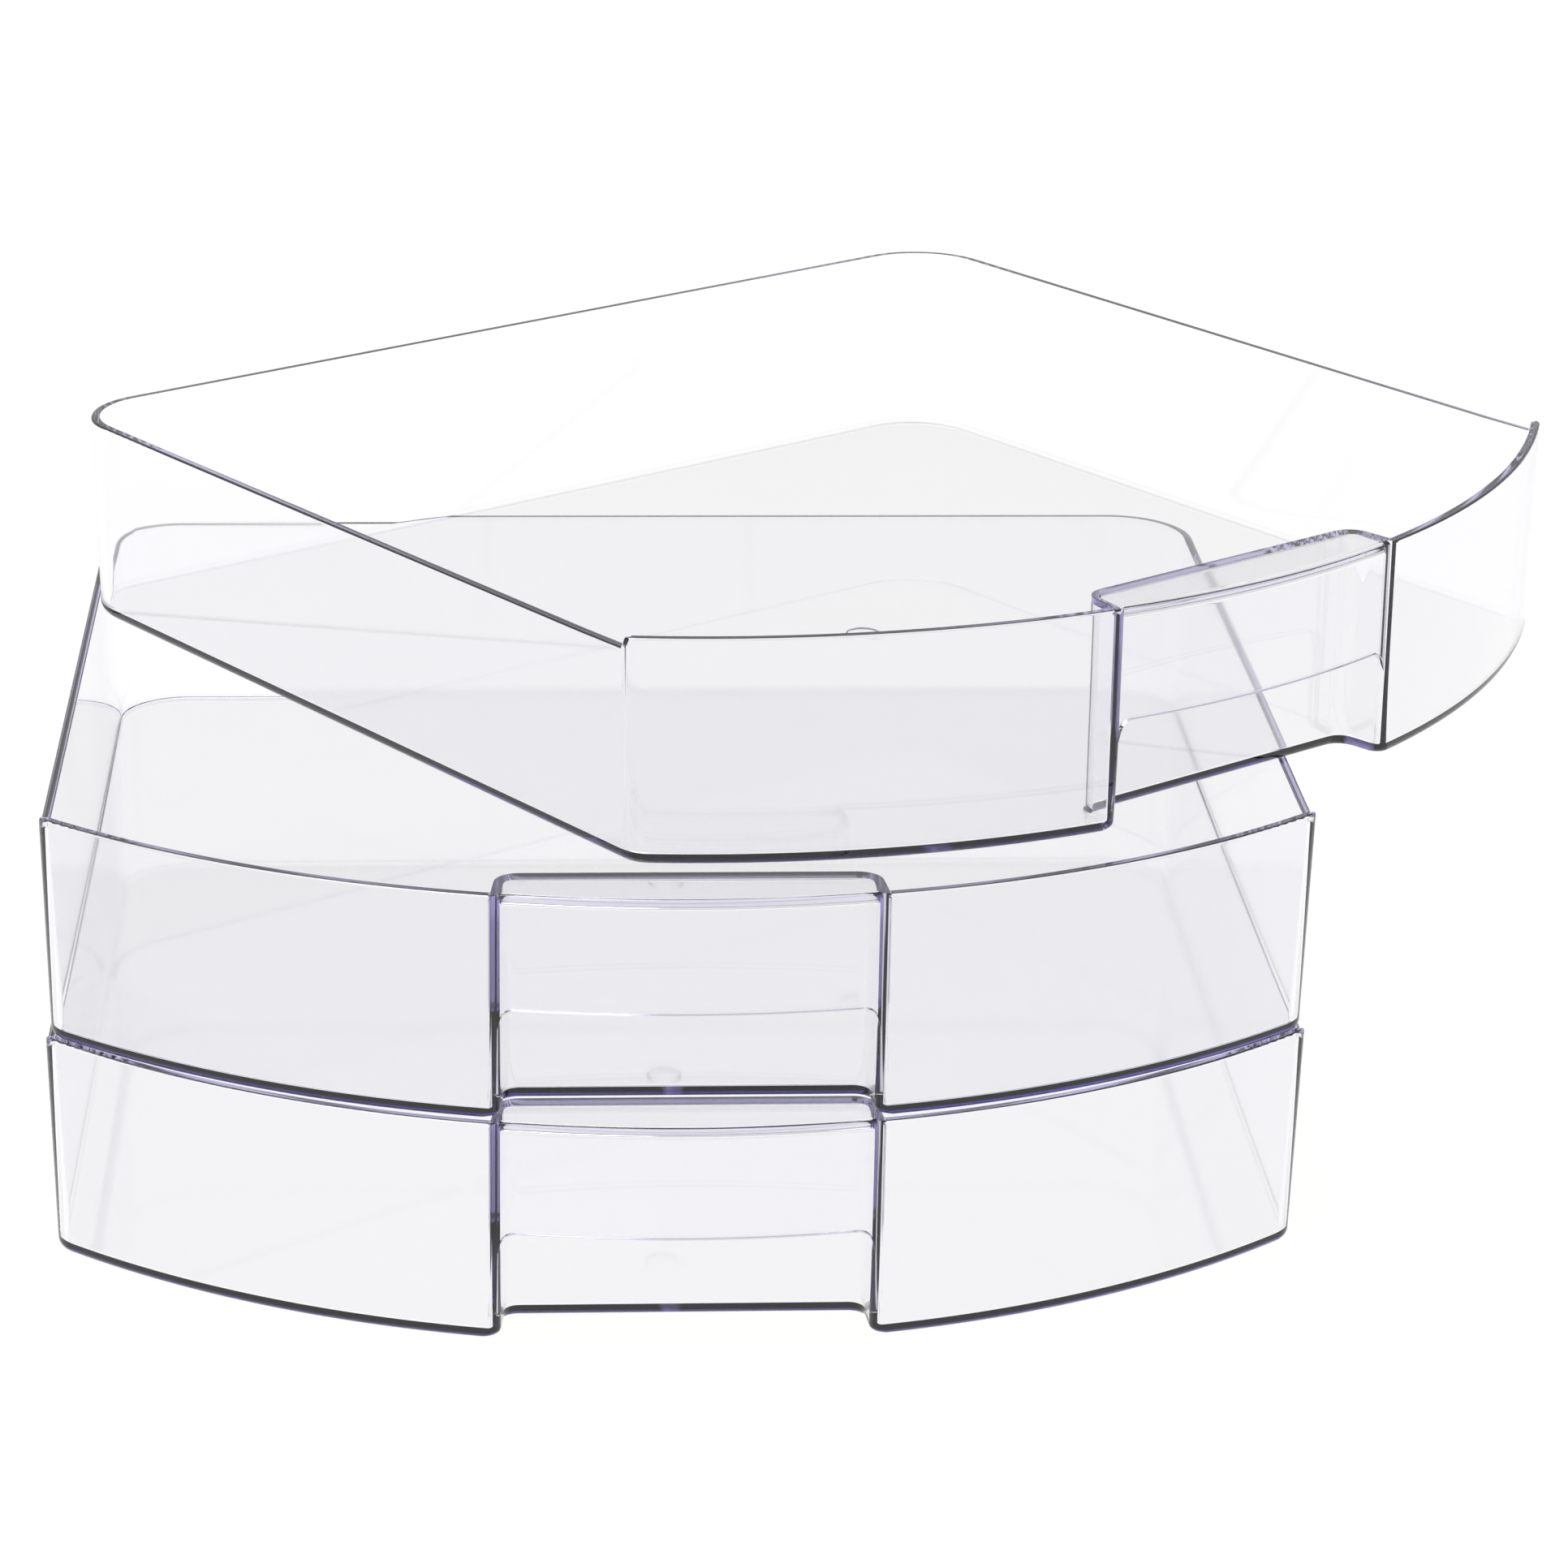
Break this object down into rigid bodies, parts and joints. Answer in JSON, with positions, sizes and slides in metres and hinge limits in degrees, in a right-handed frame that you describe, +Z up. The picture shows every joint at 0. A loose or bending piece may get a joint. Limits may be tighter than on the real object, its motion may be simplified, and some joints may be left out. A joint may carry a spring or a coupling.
{
  "type": "stacking lazy susan storage bins",
  "caption": "Clear open-topped storage bins with a curved front and a pull handle, stacked on one another; each lifts off.",
  "frame": {"origin": "middle of the bottom bin's underside, halfway between the front of its curve and its back wall", "axes": "+Z up out of the bins' open tops, -Y towards the curved fronts and pull handles of the two lower bins, +X to the right seen from that front"},
  "size_m": [0.5242, 0.5465, 0.2258],
  "materials": {
    "clear_plastic": "clear, polished, colourless moulded plastic"
  },
  "bodies": {
    "bottom": {"bottom_bin": "clear_plastic"},
    "middle": {"middle_bin": "clear_plastic"},
    "top": {"top_bin": "clear_plastic"}
  },
  "joints": [
    {"name": "middle_lift", "type": "slide", "parent": "bottom", "child": "middle", "axis": [0, 0, 1], "range_m": [0, 0.12]},
    {"name": "top_lift", "type": "slide", "parent": "middle", "child": "top", "axis": [0, 0, 1], "range_m": [0, 0.12]}
  ]
}
